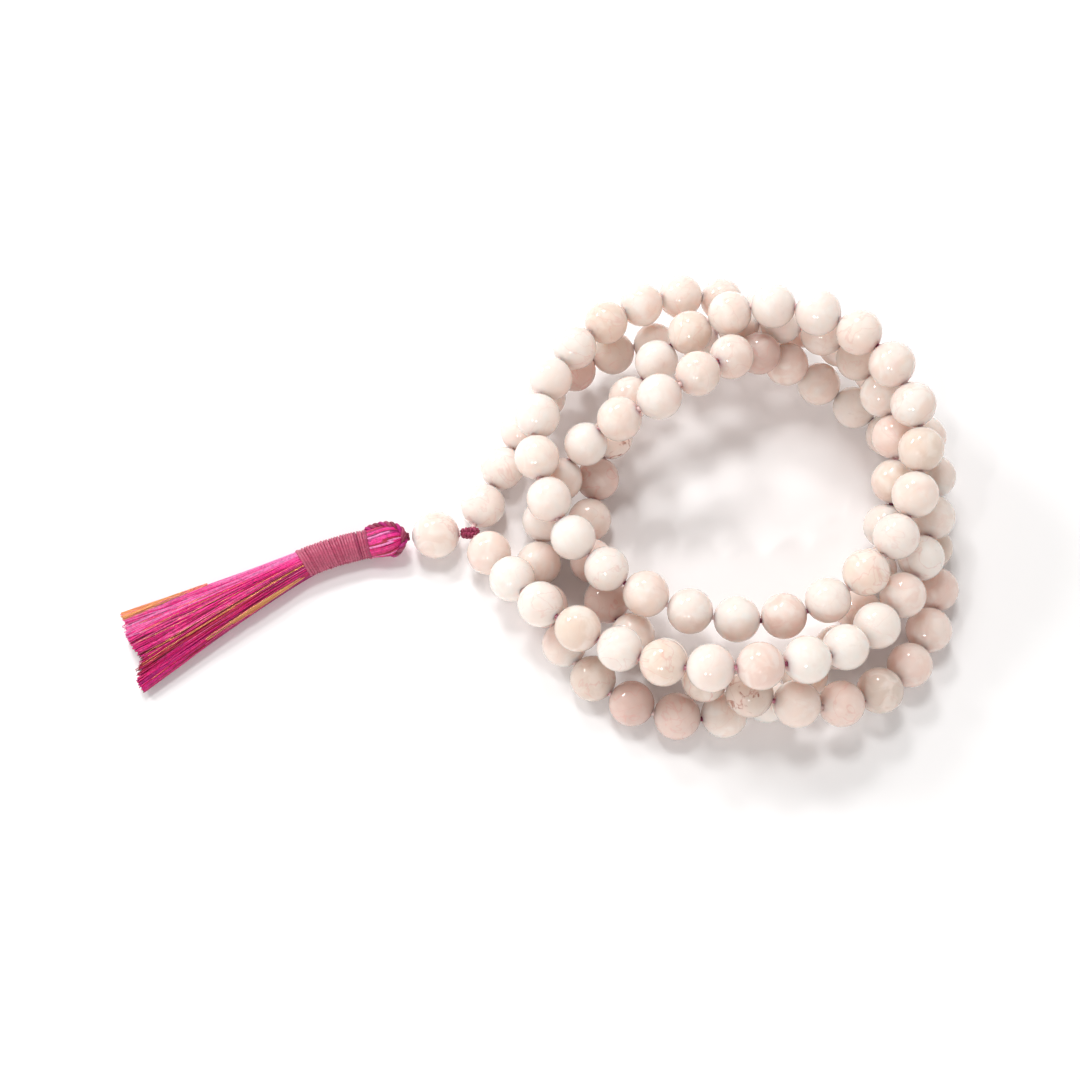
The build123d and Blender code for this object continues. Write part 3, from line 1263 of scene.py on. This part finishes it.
@dataclass
class TasselSkirt:
    """The loose ends below the binding: a flat, spreading fall of a thousand threads."""

    frame: TasselFrame
    silk: bpy.types.Material
    metal: bpy.types.Material
    threads: int = 1000
    thread_radius: float = 0.11 * MM
    glitter_threads: int = 26
    glitter_radius: float = 0.06 * MM
    bunch_radius: float = 0.08 * MM
    # share of the length, half width and half thickness
    sections: tuple[tuple[float, float, float], ...] = (
        (0.0, 2.5 * MM, 2.5 * MM),
        (0.35, 4.0 * MM, 2.45 * MM),
        (0.7, 5.9 * MM, 2.2 * MM),
        (1.0, 7.6 * MM, 1.9 * MM),
        (1.1, 8.1 * MM, 1.8 * MM),
    )
    # how far the threads reach, from the far edge to the near one: the ends were cut unevenly
    cut: tuple[tuple[float, float], ...] = (
        (-1.0, 0.955),
        (-0.75, 0.97),
        (-0.35, 1.0),
        (0.05, 0.99),
        (0.3, 0.96),
        (0.5, 1.0),
        (0.75, 1.05),
        (1.0, 1.04),
    )
    locks: int = 13
    seed: int = 23

    def place(self, share: float, aside: float, up: float) -> np.ndarray:
        """A place in the skirt.

        Args:
            share: 0 at the binding, 1 at the nominal end.
            aside: -1 at the far edge, 1 at the near edge.
            up: -1 underneath, 1 on top.

        Returns:
            The place.
        """
        start, _, _ = self.frame.binding_at(1.0)
        along = self.frame.heading(self.frame.skirt_heading)
        left = np.cross(UP, along)
        shares, widths, heights = zip(*self.sections)
        width = float(np.interp(share, shares, widths))
        height = float(np.interp(share, shares, heights))
        middle = start + along * self.frame.skirt_length * share
        middle[2] = height + self.frame.table_gap
        if share < 0.12:
            blend = share / 0.12
            _, _, neck_left = self.frame.binding_at(1.0)
            left = neck_left * (1 - blend) + left * blend
            left /= np.linalg.norm(left)
        ridge = 1 - 0.26 * min(1.0, 0.35 + share) * self.phase(aside, share) ** 2
        return middle + left * aside * width + np.array((0.0, 0.0, up * height * ridge))

    def phase(self, aside: float, share: float) -> float:
        """Where across its lock of threads a place lies: 0 on the crest, 1 in the furrow."""
        bend = aside + 0.06 * math.sin(5.0 * share + 3.0 * aside) + 0.09 * math.sin(9.0 * aside)
        lock = (bend + 1) / 2 * self.locks
        return abs(2 * (lock - math.floor(lock)) - 1)

    def shade(self, aside: float, dice: np.random.Generator) -> ThreadColour:
        """Choose a thread's dye lot by where it lies across the fall; the pale lilac-pink at the
        far edge, towards the window, is partly painted highlight.

        Args:
            aside: -1 at the far edge, 1 at the near edge.
            dice: the seeded source of chance.

        Returns:
            The dye lot.
        """
        here = aside + dice.normal(0, 0.1)
        chance = dice.uniform()
        # far edge: pale lilac-pink, partly dye and partly painted highlight
        if here < -0.6:
            lots = (ThreadColour.LILAC_PINK, ThreadColour.HOT_PINK, ThreadColour.ROSE_PINK)
        elif here < -0.22:
            lots = (ThreadColour.HOT_PINK, ThreadColour.FUCHSIA, ThreadColour.ROSE_PINK)
        elif here < 0.1:
            lots = (ThreadColour.CRIMSON, ThreadColour.DEEP_CRIMSON, ThreadColour.FUCHSIA)
        elif here < 0.55:
            lots = (ThreadColour.FUCHSIA, ThreadColour.MAGENTA, ThreadColour.CRIMSON)
        else:
            lots = (ThreadColour.MAGENTA, ThreadColour.FUCHSIA, ThreadColour.PLUM)
        return lots[0] if chance < 0.45 else lots[1] if chance < 0.78 else lots[2]

    def line(
        self,
        aside: float,
        up: float,
        reach: float,
        dice: np.random.Generator,
        start: float = -0.04,
        stray: float = 0.08,
        count: int = 9,
    ) -> np.ndarray:
        """One thread's line down the skirt.

        Args:
            aside: its place across at the end.
            up: its height at the end.
            reach: the share of the length where it was cut.
            dice: the seeded source of chance.
            start: the share where it starts.
            stray: how far it wanders across.
            count: points on the line.

        Returns:
            The points.
        """
        wander = dice.normal(0, stray, 2)
        points = []
        for share in np.linspace(start, reach, count):
            swing = math.sin(5.0 * share + wander[0] * 40)
            across = aside + wander[0] * swing * share + wander[1] * share * (share - 0.6)
            size = math.hypot(across, up)
            fit = 1.0 if size < 1 else 1 / size
            points.append(self.place(max(float(share), 0.0), across * fit, up * fit))
        _, neck, _ = self.frame.binding_at(1.0)
        points[0] = points[0] + neck * start * self.frame.skirt_length
        return np.array(points)

    def build(self) -> None:
        """Make the fall of silk, the glitter in it and the two metallic bunches."""
        dice = np.random.default_rng(self.seed)
        across, reaches = zip(*self.cut)
        strands = []
        for number in range(self.threads):
            # most threads lie near the outside, where they show
            angle = 2 * math.pi * (number + dice.uniform(-0.5, 0.5)) / self.threads
            depth = 1 - 0.55 * dice.uniform() ** 2.2
            aside, up = depth * math.cos(angle), depth * math.sin(angle)
            reach = float(np.interp(aside, across, reaches)) + dice.normal(0, 0.004)
            colour = self.shade(aside, dice)
            taper = dice.uniform(0.7, 0.95)
            points = self.line(aside, up, reach, dice)
            strands.append(Strand(points, self.thread_radius, colour.value, taper))
        fall = lay_strands(strands, sides=0, smooth=2)
        whole = joined([fall, self.core()])
        finish_piece(whole, "silk_skirt", "tassel", self.silk, ["tassel_skirt"])
        self.glitter(dice)
        self.bunches(dice)

    def core(self) -> bpy.types.Object:
        """The inside of the fall, hidden under its threads, deep crimson as painted shade between
        them.
        """

        def spread(place: Vector) -> np.ndarray:
            share = (place.z + 0.5) * 0.93
            fill = 0.8 - 0.12 * share
            return self.place(share, place.x * fill, place.y * fill)

        # deep crimson: painted shade between the threads
        return bent_core(1.0, 28, 9, spread, 50, ThreadColour.DEEP_CRIMSON)

    def glitter(self, dice: np.random.Generator) -> None:
        """Lay the fine metallic threads that run through the silk.

        Args:
            dice: the seeded source of chance.
        """
        strands = []
        lots = (ThreadColour.GOLD, ThreadColour.SALMON, ThreadColour.ORANGE)
        for _ in range(self.glitter_threads):
            aside = float(np.clip(dice.normal(0.3, 0.38), -0.95, 0.95))
            up = math.sqrt(1 - aside * aside) * dice.choice([1.0, 1.0, 1.0, -1.0]) * 1.02
            reach = float(np.interp(aside, *zip(*self.cut))) - dice.uniform(0.0, 0.12)
            points = self.line(aside, up, reach, dice, stray=0.06)
            colour = lots[int(dice.integers(3))]
            strands.append(Strand(points, self.glitter_radius, colour.value))
        threads = lay_strands(strands, sides=0, smooth=3)
        finish_piece(threads, "skirt_glitter", "tassel", self.metal)

    def bunches(self, dice: np.random.Generator) -> None:
        """Make the orange bunch at the far tip and the gold one along the near edge.

        Args:
            dice: the seeded source of chance.
        """
        # node, piece, edge, where it starts, threads and the range of their ends
        for node, name, side, start, count, ends in (
            ("metallic_threads_left", "orange_bunch", -1.0, 0.5, 46, (0.965, 0.985)),
            ("metallic_threads_right", "gold_bunch", 1.0, 0.02, 26, (0.25, 0.7)),
        ):
            strands = []
            for _ in range(count):
                spread = dice.uniform()
                lift = dice.uniform(0.02, 0.12)
                reach = dice.uniform(*ends)
                points = []
                for share in np.linspace(start, reach, 8):
                    grown = (share - start) / (1 - start)
                    out = 1.03 - (0.08 + 0.2 * grown) * spread
                    up = math.sqrt(max(0.04, 1 - out * out)) + lift
                    points.append(self.place(float(share), side * out, up))
                lots = (ThreadColour.ORANGE, ThreadColour.GOLD, ThreadColour.ROSE_PINK)
                colour = lots[int(dice.choice(3, p=[0.4, 0.3, 0.3]))]
                strands.append(Strand(np.array(points), self.bunch_radius, colour.value))
            threads = lay_strands(strands, sides=0, smooth=2)
            finish_piece(threads, name, "tassel", self.metal, [node])


@dataclass
class CordKnots:
    """The braided knot that gathers the string's ends, and the tie under the guru bead."""

    thread: bpy.types.Material
    braid_half_length: float = 1.5 * MM
    braid_half_width: float = 0.8 * MM
    braid_half_height: float = 0.42 * MM
    collar_offset: float = 1.15 * MM
    collar_radius: float = 0.72 * MM
    braid_ply: float = 0.25 * MM
    collar_ply: float = 0.19 * MM

    def build(self) -> None:
        """Braid the knot and wind the tie."""
        low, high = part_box("string_knot")
        middle = np.array((low + high) / 2)
        guru = balls_in(frame["nodes"]["guru_bead"])[0]
        along = np.array(guru.bore * math.copysign(1.0, -guru.bore.x))
        left = np.cross(UP, along)
        up = np.cross(along, left)
        strands: list[Strand] = []
        colours = (ThreadColour.WINE, ThreadColour.DUSTY_ROSE, ThreadColour.MAGENTA)
        for number in range(3):
            line = []
            for step in np.linspace(-1, 1, 34):
                phase = 2 * math.pi * (0.8 * step + number / 3)
                slim = math.sqrt(max(0.0, 1 - step * step * 0.8))
                line.append(
                    middle
                    + along * step * self.braid_half_length
                    + left * math.sin(phase) * self.braid_half_width * slim
                    + up * math.sin(2 * phase) * self.braid_half_height * slim
                )
            for points, colour in zip(plied(np.array(line), 2, 0.2 * MM, 1.3 * MM), colours):
                strands.append(Strand(points, self.braid_ply, colour.value))
        for end in (-1.0, 1.0):
            centre = middle + along * end * self.collar_offset
            strands += self.collar(
                centre, along, left, up, self.collar_radius, ThreadColour.DUSTY_ROSE
            )
        knot = lay_strands(strands, sides=1, smooth=1)
        finish_piece(knot, "braided_knot", "string", self.thread, ["string_knot"])
        low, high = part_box("tassel_tie")
        centre = np.array((low + high) / 2)
        turns = []
        for offset, radius in ((-0.3, 0.5), (0.05, 0.62), (0.38, 0.5)):
            turns += self.collar(
                centre + along * offset * MM, along, left, up, radius * MM, ThreadColour.WINE
            )
        tie = lay_strands(turns, sides=1, smooth=1)
        finish_piece(tie, "wound_tie", "tie", self.thread, ["tassel_tie"])

    def collar(
        self,
        centre: np.ndarray,
        along: np.ndarray,
        left: np.ndarray,
        up: np.ndarray,
        radius: float,
        colour: ThreadColour,
    ) -> list[Strand]:
        """A two-ply turn of cord round the string.

        Args:
            centre: its middle.
            along: the string's direction.
            left: across the string.
            up: the other way across.
            radius: of the turn.
            colour: of one ply; the other is darker.

        Returns:
            Its plies.
        """
        ring = [
            centre
            + radius * (math.cos(turn) * left + math.sin(turn) * up)
            + along * 0.16 * MM * math.sin(turn / 2)
            for turn in np.linspace(0, 2 * math.pi, 22)
        ]
        pair = plied(np.array(ring), 2, 0.14 * MM, 1.0 * MM)
        return [
            Strand(points, self.collar_ply, shade.value)
            for points, shade in zip(pair, (colour, ThreadColour.WINE))
        ]


# ---------------------------------------------------------------- studio


@dataclass(frozen=True)
class Lamp:
    """One area light: the way to it from the beads, how far it is, its size and its watts."""

    direction: tuple[float, float, float]
    distance: float
    size: tuple[float, float]
    watts: float
    leaves_highlight: bool = True


@dataclass
class Studio:
    """A pale table, a tall window behind on the left, and a pair of small lamps in front."""

    elevation: float = 66.84
    distance: float = 0.26408
    lens: float = 47.65
    target: tuple[float, float, float] = (0.00086, -0.00492, 0.0)
    table: str = "fbfafa"
    walls: float = 0.86
    ceiling: float = 0.2
    # what the lights are aimed at
    heart: tuple[float, float, float] = (0.02, 0.0, 0.01)
    lamps: dict[str, Lamp] = field(
        default_factory=lambda: {
            "window_left_pane": Lamp((-0.667, 0.429, 0.608), 0.6, (0.13, 0.09), 1.05),
            "window_right_pane": Lamp((-0.206, 0.603, 0.771), 0.6, (0.13, 0.09), 1.05),
            "left_lamp": Lamp((-0.44, -0.70, 0.55), 0.5, (0.024, 0.024), 0.3),
            "right_lamp": Lamp((-0.16, -0.76, 0.62), 0.5, (0.024, 0.024), 0.3),
            # the ceiling bounce is too even to be seen as a highlight
            "ceiling_bounce": Lamp((-0.12, 0.3, 0.95), 0.8, (0.16, 0.16), 1.9, False),
        }
    )

    def build(self) -> None:
        """Make the table, the lights and the camera."""
        self.make_table()
        self.make_lights()
        self.make_camera()

    def make_table(self) -> None:
        """Lay a wide matt board under the beads."""
        deselect_all()
        bpy.ops.mesh.primitive_plane_add(size=4.0, location=(0.0, 0.0, -0.02 * MM))
        board = bpy.context.object
        board.name = "table"
        finish = bpy.data.materials.new("matt_board")
        finish.use_nodes = True
        tree = finish.node_tree
        surface = tree.nodes["Principled BSDF"]
        surface.inputs["Base Color"].default_value = linear(self.table)
        surface.inputs["Roughness"].default_value = 0.85
        surface.inputs["Specular IOR Level"].default_value = 0.15
        board.data.materials.append(finish)

    def hang(self, name: str, lamp: Lamp) -> None:
        """Add one area light that faces the beads.

        Args:
            name: its name.
            lamp: its place, size and power.
        """
        data = bpy.data.lights.new(name, "AREA")
        data.shape = "RECTANGLE"
        data.size, data.size_y = lamp.size
        data.energy = lamp.watts
        light = bpy.data.objects.new(name, data)
        bpy.context.scene.collection.objects.link(light)
        middle = Vector(self.heart)
        light.location = middle + Vector(lamp.direction).normalized() * lamp.distance
        light.rotation_euler = (middle - light.location).to_track_quat("-Z", "Y").to_euler()
        light.visible_glossy = lamp.leaves_highlight

    def make_surround(self) -> None:
        """Surround the table with white walls under a dimmer ceiling."""
        world = bpy.data.worlds.new("soft_studio")
        world.use_nodes = True
        tree = world.node_tree
        way = add_node(tree, "ShaderNodeTexCoord").outputs["Generated"]
        split = add_node(tree, "ShaderNodeSeparateXYZ", links={"Vector": way})
        glow = add_node(
            tree,
            "ShaderNodeMapRange",
            {"From Min": 0.0, "From Max": 1.0, "To Min": self.walls, "To Max": self.ceiling},
            {"Value": split.outputs["Z"]},
        )
        tree.nodes["Background"].inputs["Color"].default_value = linear("fffdfb")
        tree.links.new(glow.outputs["Result"], tree.nodes["Background"].inputs["Strength"])
        bpy.context.scene.world = world

    def make_lights(self) -> None:
        """Set the soft sky, the two panes of the window, the two lamps and the bounce."""
        self.make_surround()
        for name, lamp in self.lamps.items():
            self.hang(name, lamp)

    def make_camera(self) -> None:
        """Stand the camera where the heap is looked down on from the front."""
        data = bpy.data.cameras.new("camera")
        data.lens = self.lens
        data.sensor_width = 36.0
        data.clip_start = 0.01
        camera = bpy.data.objects.new("camera", data)
        bpy.context.scene.collection.objects.link(camera)
        angle = math.radians(self.elevation)
        back = Vector((0.0, -math.cos(angle), math.sin(angle)))
        camera.location = Vector(self.target) + back * self.distance
        camera.rotation_euler = (math.pi / 2 - angle, 0.0, 0.0)
        bpy.context.scene.camera = camera
        bpy.context.scene.view_settings.view_transform = "Standard"


def main() -> None:
    """Build the looks piece by piece."""
    logging.basicConfig(level=logging.INFO, format="%(name)s: %(message)s")
    nodes, bodies = frame["nodes"], {}
    for name, node in nodes.items():
        bodies[name] = node["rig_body"]
    quartz = RoseQuartz().material()
    silk = DyedThread("silk_thread_dyed").material()
    binding = DyedThread("binding_thread_dyed", roughness=0.42, slub=0.25).material()
    braid = DyedThread("braided_cord_dyed", roughness=0.5, slub=0.3).material()
    metal = MetallicFilament().material()
    string = WaxedCord().material()

    pattern = DrilledBead()
    pattern.model()
    BeadString(pattern, quartz).build(nodes, bodies)

    guru = balls_in(nodes["guru_bead"])[0]
    mesh = pattern.at(guru, 0.4)
    paint(mesh, Look(Stone.BLUSH, 0.6, 0.3, 0.0), np.random.default_rng(3))
    head_bead = bpy.data.objects.new("guru", mesh)
    bpy.context.scene.collection.objects.link(head_bead)
    finish_piece(head_bead, "quartz_guru_bead", "guru", quartz, ["guru_bead"])

    for name in ("strand_cord", "guru_cord"):
        nodes[name].data.materials.clear()
        nodes[name].data.materials.append(string)

    tassel = TasselFrame()
    tassel.read()
    CordKnots(braid).build()
    TasselHead(tassel, silk, braid).build()
    TasselBinding(tassel, binding).build()
    TasselSkirt(tassel, silk, metal).build()
    Studio().build()


if __name__ == "__main__":
    main()
